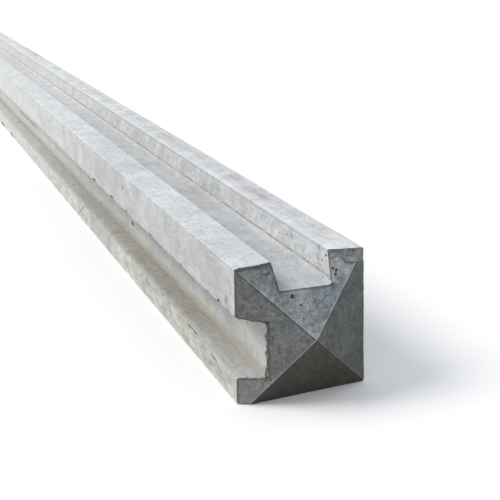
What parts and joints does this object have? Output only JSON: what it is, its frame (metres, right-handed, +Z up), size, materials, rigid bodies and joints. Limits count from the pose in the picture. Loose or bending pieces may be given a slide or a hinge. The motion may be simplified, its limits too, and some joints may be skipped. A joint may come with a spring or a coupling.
{
  "type": "concrete fence post",
  "caption": "Slotted concrete corner post with a pyramid-shaped head and panel slots in two neighbouring sides, lying flat.",
  "frame": {"origin": "under the middle of the post, on the surface that it lies on", "axes": "+Y along the length from the pointed head to the foot, +Z up out of the upper slot, -X out of the side slot"},
  "size_m": [0.11, 2.44, 0.1165],
  "materials": {
    "concrete": "cast grey concrete, smooth from the mould on the slopes of the head, trowelled and weathered along the shaft, with chipped edges"
  },
  "bodies": {
    "root": {"post": "concrete"}
  },
  "joints": []
}
